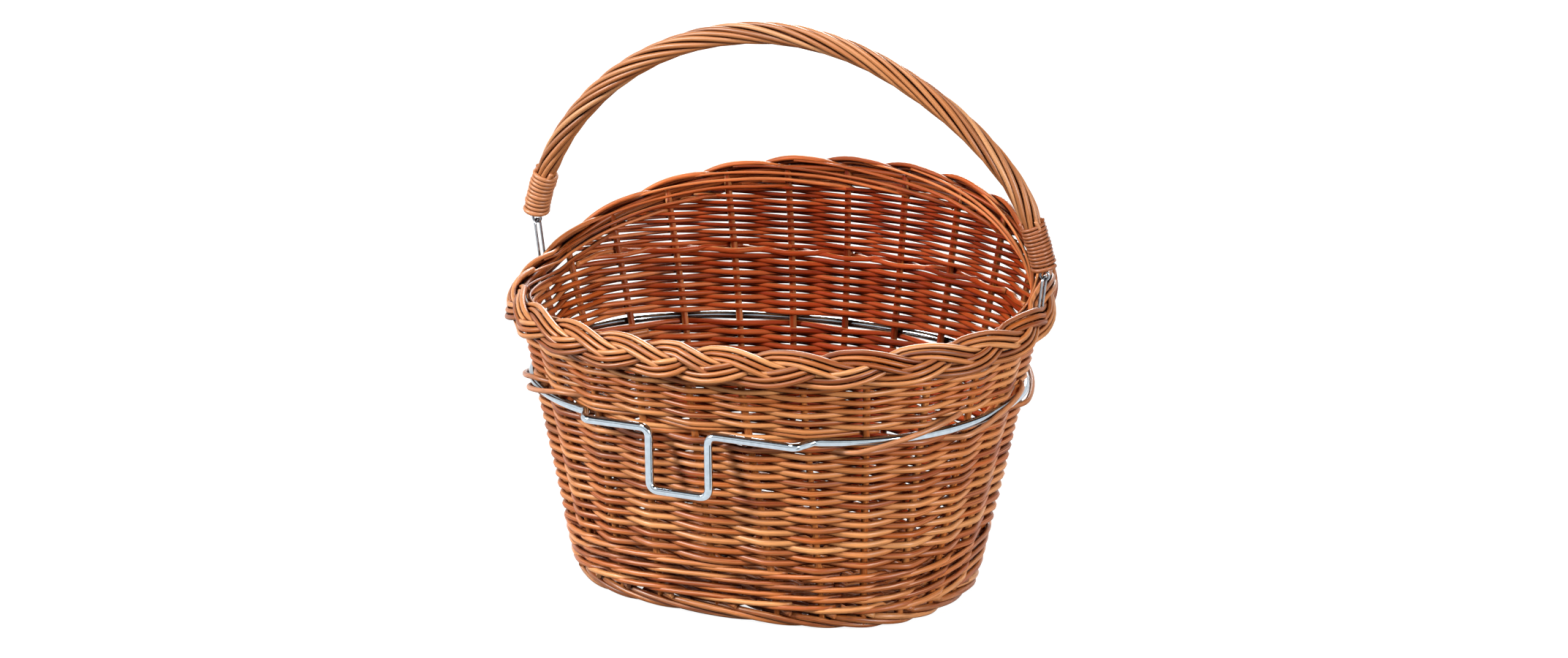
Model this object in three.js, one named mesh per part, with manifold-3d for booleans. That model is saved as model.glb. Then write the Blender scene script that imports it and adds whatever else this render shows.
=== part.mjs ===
// A woven willow basket for a bicycle's handlebar, in millimetres.
// +Z is up, -Y is the flat rear side with the wire hook, and +X is the rider's left.
// Every piece is its own mesh, and the basket stands on z = 0 with its footprint centred.
import * as THREE from "three";
import { mergeVertices } from "three/addons/utils/BufferGeometryUtils.js";
import Module from "manifold-3d";

const wasm = await Module();
wasm.setup();

// Clearance between pieces that touch on the real basket
const touchGap = 0.3;

// Middle surface of the wall: its plan at the floor and at the wire
const footHalfWidth = 139.5;
const footRearDepth = 113.7;
const footFrontDepth = 81.1;
const footCornerSquareness = 3.1;
const wireHalfWidth = 173.5;
const wireRearDepth = 149.4;
const wireFrontDepth = 111.3;
const wireCornerSquareness = 2.36;
const frontRoundness = 2.07;
const wireHeight = 150;

// The front bows out low down and stands nearly upright at its rim: 0 would be a straight slope
const frontBow = 0.4;

// Rim: level with the wale at the rear, arched high above it at the front, a little skewed towards +X
const walePlaceHeight = 201;
const waleHeight = 5.5;
const rearRimAboveWale = 4;
const frontRimAboveWale = 65.4;
const rearRimHeight = walePlaceHeight + rearRimAboveWale;
const frontRimHeight = walePlaceHeight + frontRimAboveWale;
const rimArchStart = -0.29;
const rimArchPower = 1.9;
const rimArchFullness = 0.87;
const rimArchSkew = 4;

// Upright stakes that the rods are woven round
const frontStakes = 11;
const rearStakes = 13;
const stakeRadius = 2.6;
const stakeFootHeight = 3.3;
const stakeTopInBorder = 4;

// Woven wall and its courses: the weave swells round each stake and thins between two
const wallThickness = 11;
const weaveReachAtStakes = 6;
const weaveReachBetween = 3;
const footBorderHeight = 12;
const upsetHeight = 10;
const wireGapHeight = 16;
const wallTopBelowRim = 14;
const shortestCourse = 1.5;

// Foot border and plait border: their reach either side of the wall's middle surface
const footOuterReach = 6.3;
const footChamfer = 3;
const footChamferDepth = 1.8;
const borderInnerReach = 7.6;
const borderOuterReach = 14.8;
const borderBelowRim = 13.7;
const borderAboveRim = 13.6;

// Woven base
const baseBottom = 3.2;
const baseThickness = 12;
const longStickRadius = 2.4;
const longStickSpacing = 22;
const longStickCount = 3;
const crossStickRadius = 2.2;
const crossStickSpacing = 28;
const crossStickCount = 7;
const stickInset = 3;

// Wire frame with its U hook
const wireRadius = 3;
const wireBendRadius = 7;
const hookPlaneDepth = wireRearDepth + weaveReachAtStakes + wireRadius + touchGap;
const hookBarHalfLength = 80;
const hookOffset = -8;
const hookWidth = 45;
const hookDrop = 45;

// Willow strands twined over the wire
const strandRadius = 1.6;
const strandEndTuck = 0.25;

// Handle bow: the upper part of an oval whose centre lies below the bow's ends
const handleRadius = 8.2;
const handleNeckRadius = 7;
const handleRise = 151;
const handleRoundness = 1.95;
const handleOvalBelowEnds = 32;
const handleLean = 2.5;
const handleSpread = 4.6;
const handleEndAboveRim = 37.3;

// Rod wound round each end of the handle
const neckBeyondWinding = 1.5;
const windingLength = 34.7;
const windingTurns = 9;
const windingRodRadius = 1.3;
const windingStepsPerTurn = 12;
const windingSides = 5;

// Wire eye in each end of the handle, and the long link that it hangs in
const eyeWireRadius = 1;
const eyeRadius = 3.2;
const eyeShankLength = 14;
const linkWireRadius = 1;
const linkHalfWidth = 3.8;
const linkRodRadius = 2;
const linkRodBelowRim = 7;
const linkSwing = 12;
const linkSlotWidth = 5;
const linkSlotClearance = 0.6;
const linkRodGrip = 1.2;
const linkOutset = 7.14;

const radians = THREE.MathUtils.degToRad;

const willow = (color) => new THREE.MeshStandardMaterial({ color, roughness: 0.42, metalness: 0 });
const steel = (color) => new THREE.MeshStandardMaterial({ color, roughness: 0.18, metalness: 1 });
const sideWillow = willow(0xa9602a);
const baseWillow = willow(0x9c5526);
const borderWillow = willow(0xb56d33);
const stakeWillow = willow(0x8f4a20);
const handleWillow = willow(0xb0703c);
const chromedWire = steel(0xc8ccd2);
const linkSteel = steel(0xa9adb3);

const group = new THREE.Group();

function addPiece(name, geometry, material, parent = group) {
  const mesh = new THREE.Mesh(geometry, material);
  mesh.name = name;
  parent.add(mesh);
  return mesh;
}

// Plan curves: an oval with its own squareness at the rear and at the front
function signedPower(value, power) {
  return Math.sign(value) * Math.abs(value) ** power;
}

function planPoint(angle, halfWidth, rearDepth, frontDepth, rearSquareness) {
  const atRear = Math.sin(angle) < 0;
  const power = 2 / (atRear ? rearSquareness : frontRoundness);
  const depth = atRear ? rearDepth : frontDepth;
  return new THREE.Vector2(
    halfWidth * signedPower(Math.cos(angle), power),
    depth * signedPower(Math.sin(angle), power),
  );
}

function middlePlan(angle, z) {
  const foot = planPoint(angle, footHalfWidth, footRearDepth, footFrontDepth, footCornerSquareness);
  const wire = planPoint(angle, wireHalfWidth, wireRearDepth, wireFrontDepth, wireCornerSquareness);
  const rise = z / wireHeight;
  const bowedRise = rise * (1 + frontBow) - frontBow * rise ** 2;
  const x = THREE.MathUtils.lerp(foot.x, wire.x, rise);
  return new THREE.Vector2(x, THREE.MathUtils.lerp(foot.y, wire.y, foot.y > 0 ? bowedRise : rise));
}

// Places round the basket are counted in stake spacings, from the +X side through the front
const spacings = frontStakes + rearStakes;

function arcTable(from, to) {
  const samples = 2000;
  const lengths = [0];
  let last = middlePlan(from, wireHeight);
  for (let i = 1; i <= samples; i++) {
    const next = middlePlan(from + ((to - from) * i) / samples, wireHeight);
    lengths.push(lengths[i - 1] + next.distanceTo(last));
    last = next;
  }
  return (share) => {
    const target = share * lengths[samples];
    let high = lengths.findIndex((length) => length >= target);
    high = Math.max(1, high < 0 ? samples : high);
    const step = (target - lengths[high - 1]) / (lengths[high] - lengths[high - 1]);
    return from + ((to - from) * (high - 1 + step)) / samples;
  };
}

const frontAngle = arcTable(0, Math.PI);
const rearAngle = arcTable(Math.PI, 2 * Math.PI);

function angleAt(place) {
  const turn = ((place % spacings) + spacings) % spacings;
  if (turn <= frontStakes) return frontAngle(turn / frontStakes);
  return rearAngle((turn - frontStakes) / rearStakes);
}

function wallNormal(angle, z) {
  const step = 0.003;
  const along = middlePlan(angle + step, z).sub(middlePlan(angle - step, z));
  return new THREE.Vector2(along.y, -along.x).normalize();
}

// A point off the wall's middle surface: outwards by offset, on the wall's slope at height z
function wallPoint(place, z, offset = 0) {
  const angle = angleAt(place);
  const plan = middlePlan(angle, z).addScaledVector(wallNormal(angle, z), offset);
  return new THREE.Vector3(plan.x, plan.y, z);
}

function rimHeightAt(place) {
  const angle = angleAt(place) + radians(rimArchSkew);
  const front = signedPower(Math.sin(angle), rimArchFullness);
  const climb = Math.max(0, (front - rimArchStart) / (1 - rimArchStart));
  return rearRimHeight + (frontRimHeight - rearRimHeight) * climb ** rimArchPower;
}

// Closed or cut ring of equal cross-sections, each a list of points in order round the section
function sweepSections(sections, closed) {
  const count = sections.length;
  const sides = sections[0].length;
  const positions = sections.flat().flatMap((point) => [point.x, point.y, point.z]);
  const index = [];
  const last = closed ? count : count - 1;
  for (let i = 0; i < last; i++) {
    const next = (i + 1) % count;
    for (let j = 0; j < sides; j++) {
      const k = (j + 1) % sides;
      index.push(i * sides + j, next * sides + j, next * sides + k);
      index.push(i * sides + j, next * sides + k, i * sides + k);
    }
  }
  if (!closed) {
    const flat = THREE.ShapeUtils.triangulateShape(sectionOutline(sections[0]), []);
    const end = (count - 1) * sides;
    for (const [a, b, c] of flat) {
      index.push(a, b, c);
      index.push(end + a, end + c, end + b);
    }
  }
  const geometry = new THREE.BufferGeometry();
  geometry.setAttribute("position", new THREE.Float32BufferAttribute(positions, 3));
  geometry.setIndex(index);
  return facingOut(geometry);
}

// The section laid flat in its own plane, for its end caps
function sectionOutline(points) {
  const centre = points.reduce((sum, point) => sum.add(point), new THREE.Vector3());
  centre.divideScalar(points.length);
  const across = points[0].clone().sub(centre).normalize();
  const normal = new THREE.Vector3();
  points.forEach((point, i) => {
    const next = points[(i + 1) % points.length];
    normal.add(point.clone().sub(centre).cross(next.clone().sub(centre)));
  });
  const up = normal.normalize().clone().cross(across);
  return points.map((point) => {
    const arm = point.clone().sub(centre);
    return new THREE.Vector2(arm.dot(across), arm.dot(up));
  });
}

function facingOut(geometry) {
  const position = geometry.attributes.position;
  const index = geometry.index.array;
  const corner = [new THREE.Vector3(), new THREE.Vector3(), new THREE.Vector3()];
  let volume = 0;
  for (let i = 0; i < index.length; i += 3) {
    corner.forEach((point, j) => point.fromBufferAttribute(position, index[i + j]));
    volume += corner[0].dot(corner[1].clone().cross(corner[2]));
  }
  if (volume < 0) {
    for (let i = 0; i < index.length; i += 3) {
      [index[i], index[i + 1]] = [index[i + 1], index[i]];
    }
  }
  return geometry;
}

// Round rod along a list of points; radiusAt may thin it along its length
function rod(points, radius, sides, closed = false, radiusAt = () => radius) {
  const count = points.length;
  const direction = (i) => {
    const before = closed ? points[(i - 1 + count) % count] : points[Math.max(0, i - 1)];
    const after = closed ? points[(i + 1) % count] : points[Math.min(count - 1, i + 1)];
    const back = points[i].clone().sub(before);
    const ahead = after.clone().sub(points[i]);
    if (back.lengthSq() > 0) back.normalize();
    if (ahead.lengthSq() > 0) ahead.normalize();
    return back.add(ahead).normalize();
  };
  const tangents = points.map((_, i) => direction(i));
  const seed = Math.abs(tangents[0].z) < 0.9 ? new THREE.Vector3(0, 0, 1) : new THREE.Vector3(1, 0, 0);
  const normals = [seed.addScaledVector(tangents[0], -seed.dot(tangents[0])).normalize()];
  const turn = new THREE.Quaternion();
  for (let i = 1; i < count; i++) {
    turn.setFromUnitVectors(tangents[i - 1], tangents[i]);
    normals.push(normals[i - 1].clone().applyQuaternion(turn).normalize());
  }
  let twist = 0;
  if (closed) {
    turn.setFromUnitVectors(tangents[count - 1], tangents[0]);
    const returned = normals[count - 1].clone().applyQuaternion(turn);
    const side = tangents[0].clone().cross(normals[0]);
    twist = Math.atan2(returned.dot(side), returned.dot(normals[0]));
  }
  const sections = points.map((point, i) => {
    const normal = normals[i];
    const side = tangents[i].clone().cross(normal);
    const ring = [];
    for (let j = 0; j < sides; j++) {
      const angle = ((j + 0.5) / sides) * 2 * Math.PI - (twist * i) / count;
      ring.push(
        point
          .clone()
          .addScaledVector(normal, Math.cos(angle) * radiusAt(i))
          .addScaledVector(side, Math.sin(angle) * radiusAt(i)),
      );
    }
    return ring;
  });
  return sweepSections(sections, closed);
}

// Joining and cutting of closed meshes
function toSolid(geometry) {
  const bare = geometry.clone();
  bare.deleteAttribute("normal");
  bare.deleteAttribute("uv");
  const merged = mergeVertices(bare, 1e-4);
  return new wasm.Manifold(
    new wasm.Mesh({
      numProp: 3,
      vertProperties: new Float32Array(merged.attributes.position.array),
      triVerts: new Uint32Array(merged.index.array),
    }),
  );
}

function toGeometry(solid) {
  const mesh = solid.getMesh();
  const geometry = new THREE.BufferGeometry();
  geometry.setAttribute("position", new THREE.BufferAttribute(mesh.vertProperties, 3));
  geometry.setIndex(new THREE.BufferAttribute(mesh.triVerts, 1));
  return geometry;
}

function cutBy(geometry, cutters) {
  let solid = toSolid(geometry);
  for (const cutter of cutters) solid = solid.subtract(toSolid(cutter));
  return toGeometry(solid);
}

// Stakes up the sloping wall, and the channels that they stand in: both bend at the same heights
const stakePlaces = Array.from({ length: spacings }, (_, i) => i + 0.5);
const stakeBendStep = wireHeight / 3;

function stakePoint(place, z) {
  const step = Math.floor(z / stakeBendStep);
  const below = wallPoint(place, step * stakeBendStep);
  return below.lerp(wallPoint(place, (step + 1) * stakeBendStep), z / stakeBendStep - step);
}

function stakeLine(place, fromZ, toZ) {
  const heights = [fromZ];
  for (let z = stakeBendStep; z < toZ; z += stakeBendStep) {
    if (z > fromZ) heights.push(z);
  }
  heights.push(toZ);
  return heights.map((z) => stakePoint(place, z));
}

function stakeChannels(fromZ, toZAt) {
  const radius = (stakeRadius + touchGap) / Math.cos(Math.PI / 6);
  return stakePlaces
    .filter((place) => toZAt(place) > fromZ)
    .map((place) => rod(stakeLine(place, fromZ, toZAt(place)), radius, 6));
}

stakePlaces.forEach((place, i) => {
  const top = rimHeightAt(place) + stakeTopInBorder;
  const name = `stake_${String(i + 1).padStart(2, "0")}`;
  addPiece(name, rod(stakeLine(place, stakeFootHeight, top), stakeRadius, 6), stakeWillow);
});

// Woven courses of the wall, each a ring or a part of a ring
const placesPerSpacing = 2;

const shortestStep = 0.1;

function weaveReach(place) {
  const nearStake = Math.abs(Math.sin(Math.PI * place));
  return THREE.MathUtils.lerp(weaveReachBetween, weaveReachAtStakes, nearStake);
}

// Sections stand at each stake and midway between stakes, and at the two ends of a cut course
function coursePlaces(fromPlace, toPlace, closed) {
  const between = [];
  for (let i = Math.ceil(fromPlace * placesPerSpacing); i < toPlace * placesPerSpacing; i++) {
    between.push(i / placesPerSpacing);
  }
  if (closed) return between;
  const inside = between.filter((place) => {
    return place - fromPlace > shortestStep && toPlace - place > shortestStep;
  });
  return [fromPlace, ...inside, toPlace];
}

function course(fromPlace, toPlace, closed, lowAt, highAt, rises, reachAt) {
  const sections = coursePlaces(fromPlace, toPlace, closed).map((place) => {
    const outer = reachAt(place);
    const inner = -outer;
    const heights = Array.from({ length: rises + 1 }, (_, i) => {
      return THREE.MathUtils.lerp(lowAt(place), highAt(place), i / rises);
    });
    const up = heights.map((z) => wallPoint(place, z, outer));
    const down = heights.map((z) => wallPoint(place, z, inner)).reverse();
    return [...up, ...down];
  });
  return sweepSections(sections, closed);
}

const gapBottom = wireHeight - wireGapHeight / 2;
const gapTop = wireHeight + wireGapHeight / 2;
const wallTopAt = (place) => rimHeightAt(place) - wallTopBelowRim;
const level = (z) => () => z;

function wovenCourse(name, fromPlace, toPlace, closed, lowAt, highAt, rises = 1, reachAt = weaveReach) {
  const solid = course(fromPlace, toPlace, closed, lowAt, highAt, rises, reachAt);
  const lowest = Math.min(...stakePlaces.map(lowAt)) - 1;
  const within = (place) => closed || (place > fromPlace && place < toPlace);
  const channels = stakeChannels(lowest, (place) => (within(place) ? highAt(place) + 1 : 0));
  addPiece(name, cutBy(solid, channels), sideWillow);
}

const upsetBottom = footBorderHeight + touchGap;
const upsetTop = upsetBottom + upsetHeight;
const evenReach = level(wallThickness / 2);
wovenCourse("upset_wale", 0, spacings, true, level(upsetBottom), level(upsetTop), 1, evenReach);
wovenCourse("side_weave_lower", 0, spacings, true, level(upsetTop + touchGap), level(gapBottom), 3);
const upperTop = (place) => Math.min(walePlaceHeight - touchGap, wallTopAt(place));
wovenCourse("side_weave_upper", 0, spacings, true, level(gapTop), upperTop);

// The wale and the raised front run only where the rim has climbed clear of them
function climbPlaces(bottom) {
  const middle = frontStakes / 2;
  const step = 0.01;
  return [-step, step].map((towards) => {
    let place = middle;
    while (wallTopAt(place + towards) - bottom > shortestCourse) place += towards;
    return place;
  });
}

const waleTop = walePlaceHeight + waleHeight;
const waleTopAt = (place) => Math.min(waleTop, wallTopAt(place));
wovenCourse("wale_band", ...climbPlaces(walePlaceHeight), false, level(walePlaceHeight), waleTopAt);
const raisedBottom = waleTop + touchGap;
wovenCourse("side_weave_raised", ...climbPlaces(raisedBottom), false, level(raisedBottom), wallTopAt);

// Foot border: the ring that the basket stands on, with blind holes for the stakes
const footSection = [
  [-wallThickness / 2, 0],
  [footOuterReach - footChamferDepth, 0],
  [footOuterReach, footChamfer],
  [footOuterReach, footBorderHeight - footChamfer],
  [footOuterReach - footChamferDepth, footBorderHeight],
  [-wallThickness / 2, footBorderHeight],
];
const ringPlaces = (perSpacing) => {
  return Array.from({ length: spacings * perSpacing }, (_, i) => i / perSpacing);
};
const footSections = ringPlaces(placesPerSpacing).map((place) => {
  return footSection.map(([offset, z]) => wallPoint(place, z, offset));
});
const footHoles = stakeChannels(stakeFootHeight - touchGap, level(footBorderHeight + 1));
addPiece("foot_border", cutBy(sweepSections(footSections, true), footHoles), borderWillow);

// Base panel, woven through crossed sticks that lie in its channels
const baseReach = wallThickness / 2 + touchGap;
const baseMiddleY = (footFrontDepth - footRearDepth) / 2;
const baseOutline = ringPlaces(placesPerSpacing).map((place) => wallPoint(place, baseBottom, -baseReach));
const baseShape = new THREE.Shape(baseOutline.map((point) => new THREE.Vector2(point.x, point.y)));
const baseSlab = new THREE.ExtrudeGeometry(baseShape, { depth: baseThickness, bevelEnabled: false });
baseSlab.translate(0, 0, baseBottom);

const longStickZ = baseBottom + touchGap * 2 + longStickRadius;
const crossStickZ = longStickZ + longStickRadius + crossStickRadius + touchGap * 2;
const spread = (count, spacing) => {
  return Array.from({ length: count }, (_, i) => (i - (count - 1) / 2) * spacing);
};

// Half the base's length along one line through it
function baseReachAlong(position, alongX) {
  const hits = [];
  baseOutline.forEach((point, i) => {
    const next = baseOutline[(i + 1) % baseOutline.length];
    const [a, b] = alongX ? [point.y, next.y] : [point.x, next.x];
    if ((a - position) * (b - position) > 0 || a === b) return;
    const share = (position - a) / (b - a);
    const [c, d] = alongX ? [point.x, next.x] : [point.y, next.y];
    hits.push(c + (d - c) * share);
  });
  return [Math.min(...hits), Math.max(...hits)];
}

const baseSticks = [];
spread(longStickCount, longStickSpacing).forEach((offset, i) => {
  const y = baseMiddleY + offset;
  const [low, high] = baseReachAlong(y, true);
  const line = (extra) => [
    new THREE.Vector3(low + stickInset - extra, y, longStickZ),
    new THREE.Vector3(high - stickInset + extra, y, longStickZ),
  ];
  baseSticks.push({ name: `base_stick_long_${i + 1}`, line, radius: longStickRadius });
});
spread(crossStickCount, crossStickSpacing).forEach((x, i) => {
  const [low, high] = baseReachAlong(x, false);
  const line = (extra) => [
    new THREE.Vector3(x, low + stickInset - extra, crossStickZ),
    new THREE.Vector3(x, high - stickInset + extra, crossStickZ),
  ];
  baseSticks.push({ name: `base_stick_cross_${i + 1}`, line, radius: crossStickRadius });
});
const stickChannels = baseSticks.map((stick) => {
  return rod(stick.line(stickInset * 3), (stick.radius + touchGap) / Math.cos(Math.PI / 8), 8);
});
addPiece("base_panel", cutBy(baseSlab, stickChannels), baseWillow);
baseSticks.forEach((stick) => {
  addPiece(stick.name, rod(stick.line(0), stick.radius, 8), stakeWillow);
});

// Plait border along the rim, with holes for the stakes and a slot for each link
const borderSection = [
  [-borderInnerReach, -borderBelowRim],
  [-0.46 * borderInnerReach, 0.44 * borderAboveRim],
  [-0.13 * borderInnerReach, 0.88 * borderAboveRim],
  [0.24 * borderOuterReach, borderAboveRim],
  [0.54 * borderOuterReach, 0.77 * borderAboveRim],
  [0.865 * borderOuterReach, 0],
  [borderOuterReach, -0.55 * borderBelowRim],
  [0.905 * borderOuterReach, -0.93 * borderBelowRim],
  [0.61 * borderOuterReach, -borderBelowRim],
];
const borderSections = ringPlaces(placesPerSpacing).map((place) => {
  const rim = rimHeightAt(place);
  return borderSection.map(([offset, z]) => wallPoint(place, rim, offset).add(new THREE.Vector3(0, 0, z)));
});
const borderHoles = stakePlaces.map((place) => {
  const radius = (stakeRadius + touchGap) / Math.cos(Math.PI / 6);
  const rim = rimHeightAt(place);
  const below = rim - borderBelowRim - stakeRadius * 2;
  return rod(stakeLine(place, below, rim + stakeTopInBorder + touchGap), radius, 6);
});

const sideRim = (rimHeightAt(0) + rimHeightAt(frontStakes)) / 2;
const linkRodZ = sideRim - linkRodBelowRim;
const linkReach = linkHalfWidth + linkWireRadius;
const handleEndZ = sideRim + handleEndAboveRim;
const eyeDrop = 2 * eyeRadius + eyeWireRadius + touchGap * 2;
const eyeZ = handleEndZ - eyeDrop;

// Each link is hooked in the outer side of the border and leans outwards to the handle's eye
const linkHalfSpan = wallPoint(0, sideRim).x + linkOutset;
const handleHalfSpan = linkHalfSpan + handleSpread;
const linkTop = eyeZ + eyeWireRadius + linkWireRadius + touchGap;
const linkLean = Math.atan2(handleSpread, linkTop - linkRodZ);

// The slot is a wedge, wide enough at its top for the link's swing
function linkSlot(sign) {
  const below = borderBelowRim;
  const above = borderAboveRim + linkRodBelowRim + linkSlotWidth;
  const tilt = Math.tan(radians(linkSwing));
  const halfAt = (height) => {
    return linkReach / Math.cos(radians(linkSwing)) + tilt * Math.abs(height) + linkSlotClearance;
  };
  const outline = new THREE.Shape();
  outline.moveTo(-halfAt(below), -below);
  outline.lineTo(halfAt(below), -below);
  outline.lineTo(halfAt(0), 0);
  outline.lineTo(halfAt(above), above);
  outline.lineTo(-halfAt(above), above);
  outline.lineTo(-halfAt(0), 0);
  const slot = new THREE.ExtrudeGeometry(outline, { depth: linkSlotWidth, bevelEnabled: false });
  slot.translate(0, 0, -linkSlotWidth / 2);
  slot.rotateX(Math.PI / 2);
  slot.rotateZ(Math.PI / 2);
  slot.rotateY(sign * linkLean);
  slot.translate(sign * linkHalfSpan, 0, linkRodZ);
  return slot;
}

let border = toSolid(sweepSections(borderSections, true));
for (const hole of borderHoles) border = border.subtract(toSolid(hole));
for (const sign of [-1, 1]) {
  const rodEnds = [-1, 1].map((end) => {
    return new THREE.Vector3(sign * linkHalfSpan + end * (linkSlotWidth / 2 + linkRodGrip), 0, linkRodZ);
  });
  border = border.subtract(toSolid(linkSlot(sign))).add(toSolid(rod(rodEnds, linkRodRadius, 8)));
}
addPiece("plait_border", toGeometry(border), borderWillow);

// Wire frame: a ring lying against the stakes, stepped out at the rear into a bar with a U hook
const wireOffset = stakeRadius + wireRadius + touchGap * 2;

function roundedPath(corners, radius, stepsPerBend) {
  const path = [corners[0]];
  for (let i = 1; i < corners.length - 1; i++) {
    const back = corners[i - 1].clone().sub(corners[i]);
    const ahead = corners[i + 1].clone().sub(corners[i]);
    const half = back.angleTo(ahead) / 2;
    const reach = Math.min(radius / Math.tan(half), back.length() / 2.01, ahead.length() / 2.01);
    const start = corners[i].clone().addScaledVector(back.normalize(), reach);
    const end = corners[i].clone().addScaledVector(ahead.normalize(), reach);
    for (let j = 0; j <= stepsPerBend; j++) {
      const share = j / stepsPerBend;
      const first = start.clone().lerp(corners[i], share);
      path.push(first.lerp(corners[i].clone().lerp(end, share), share));
    }
  }
  path.push(corners[corners.length - 1]);
  return path;
}

// The stretch of ring that the bar replaces, found from the bar's length
function placeWhereRing(x) {
  let place = frontStakes + rearStakes / 2;
  while (Math.abs(wallPoint(place, wireHeight, wireOffset).x) < x) place += 0.01;
  return place - (frontStakes + rearStakes / 2);
}

const rearMiddle = frontStakes + rearStakes / 2;
const stepReach = placeWhereRing(hookBarHalfLength + wireRadius * 2);
const ringStart = rearMiddle + stepReach - spacings;
const ringEnd = rearMiddle - stepReach;
const ringSteps = 44;
const ringPath = Array.from({ length: ringSteps + 1 }, (_, i) => {
  return wallPoint(ringStart + ((ringEnd - ringStart) * i) / ringSteps, wireHeight, wireOffset);
});
const barPoint = (x, z) => new THREE.Vector3(x, -hookPlaneDepth, z);
const hookCorners = [
  ringPath[ringSteps],
  barPoint(-hookBarHalfLength, wireHeight),
  barPoint(hookOffset - hookWidth / 2, wireHeight),
  barPoint(hookOffset - hookWidth / 2, wireHeight - hookDrop),
  barPoint(hookOffset + hookWidth / 2, wireHeight - hookDrop),
  barPoint(hookOffset + hookWidth / 2, wireHeight),
  barPoint(hookBarHalfLength, wireHeight),
  ringPath[0],
];
const wirePath = [...ringPath, ...roundedPath(hookCorners, wireBendRadius, 4).slice(1, -1)];
addPiece("wire_frame", rod(wirePath, wireRadius, 8, true), chromedWire);

// Twined strand: tucked behind one stake, out over the wire, across it and back behind a later stake
function twinedStrand(firstStake, span) {
  const inside = -(stakeRadius + strandRadius + touchGap * 6);
  const outside = wireOffset + wireRadius + strandRadius + touchGap * 2;
  const past = wireRadius + strandRadius + touchGap;
  const clear = past * 1.15;
  const along = [
    [-strandEndTuck, inside, past * 0.9],
    [0, inside, past * 0.95],
    [0.25, inside * 0.6, clear],
    [0.5, (inside + outside) / 2.2, clear * 1.04],
    [0.75, outside * 0.86, past],
    [1, outside, past * 0.6],
    [span / 2, outside + 0.2, 0],
    [span - 1, outside, -past * 0.6],
    [span - 0.75, outside * 0.86, -past],
    [span - 0.5, (inside + outside) / 2.2, -clear * 1.04],
    [span - 0.25, inside * 0.6, -clear],
    [span, inside, -past * 0.95],
    [span + strandEndTuck, inside, -past * 0.9],
  ];
  const points = along.map(([place, offset, up]) => {
    const point = wallPoint(firstStake + place, wireHeight, offset);
    return point.setZ(wireHeight + up);
  });
  const curve = new THREE.CatmullRomCurve3(points, false, "centripetal");
  return new THREE.ExtrudeGeometry(strandSection(), {
    steps: 26,
    bevelEnabled: false,
    extrudePath: curve,
  });
}

function strandSection() {
  const sides = 6;
  return new THREE.Shape(
    Array.from({ length: sides }, (_, i) => {
      const angle = (i / sides) * 2 * Math.PI;
      return new THREE.Vector2(Math.cos(angle) * strandRadius, Math.sin(angle) * strandRadius);
    }),
  );
}

const strandSpan = 3;
const leftStrandStakes = [frontStakes - 1.5, frontStakes + 0.5];
const rightStrandStakes = [spacings - 4.5, spacings - 2.5, spacings - 0.5];
leftStrandStakes.forEach((stake, i) => {
  addPiece(`wire_lashing_left_${i + 1}`, twinedStrand(stake, strandSpan), handleWillow);
});
rightStrandStakes.forEach((stake, i) => {
  addPiece(`wire_lashing_right_${i + 1}`, twinedStrand(stake, strandSpan), handleWillow);
});

// Handle assembly, turned about the line through both eyes
const handleAssembly = new THREE.Group();
handleAssembly.position.set(0, 0, eyeZ);
handleAssembly.rotation.x = radians(handleLean);
group.add(handleAssembly);

const archPower = 2 / handleRoundness;
const ovalRise = handleRise + handleOvalBelowEnds;
const firstAngle = Math.asin((handleOvalBelowEnds / ovalRise) ** (1 / archPower));
const ovalHalfWidth = handleHalfSpan / Math.cos(firstAngle) ** archPower;

class HandleArch extends THREE.Curve {
  getPoint(share, target = new THREE.Vector3()) {
    const angle = firstAngle + share * (Math.PI - 2 * firstAngle);
    const x = -ovalHalfWidth * signedPower(Math.cos(angle), archPower);
    const z = eyeDrop - handleOvalBelowEnds + ovalRise * Math.sin(angle) ** archPower;
    return target.set(x, 0, z);
  }
}

const arch = new HandleArch();
arch.arcLengthDivisions = 1500;
const archLength = arch.getLength();
const neckLength = windingLength + neckBeyondWinding;
const neckShare = neckLength / archLength;
const neckStep = 0.002;
const archShares = [0, 0.25, 0.5, 0.75].map((part) => part * neckShare);
archShares.push(neckShare - neckStep);
const archSteps = 34;
for (let i = 0; i <= archSteps; i++) archShares.push(neckShare + ((1 - 2 * neckShare) * i) / archSteps);
for (const share of archShares.slice(0, 5).reverse()) archShares.push(1 - share);
const isNeck = (share) => share < neckShare - neckStep / 2 || share > 1 - neckShare + neckStep / 2;
const bow = rod(
  archShares.map((share) => arch.getPointAt(share)),
  handleRadius,
  10,
  false,
  (i) => (isNeck(archShares[i]) ? handleNeckRadius : handleRadius),
);

// Rod wound round the neck at one end of the handle: a single helix with its turns apart
function windingPath(sign) {
  const steps = windingTurns * windingStepsPerTurn;
  const reach = handleNeckRadius + windingRodRadius + touchGap * 2;
  const low = windingRodRadius + touchGap;
  return Array.from({ length: steps + 1 }, (_, i) => {
    const along = low + ((windingLength - 2 * low) * i) / steps;
    const share = along / archLength;
    const centre = arch.getPointAt(sign < 0 ? share : 1 - share);
    const tangent = arch.getTangentAt(sign < 0 ? share : 1 - share);
    const across = new THREE.Vector3(0, 1, 0);
    const side = tangent.clone().cross(across);
    const angle = (i / windingStepsPerTurn) * 2 * Math.PI;
    return centre
      .addScaledVector(across, Math.cos(angle) * reach)
      .addScaledVector(side, Math.sin(angle) * reach);
  });
}

function leastGapToItself(path, radius, stepsApart) {
  let least = Infinity;
  for (let i = 0; i < path.length; i++) {
    for (let j = i + stepsApart; j < path.length; j++) {
      least = Math.min(least, path[i].distanceTo(path[j]) - 2 * radius);
    }
  }
  return least;
}

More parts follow.
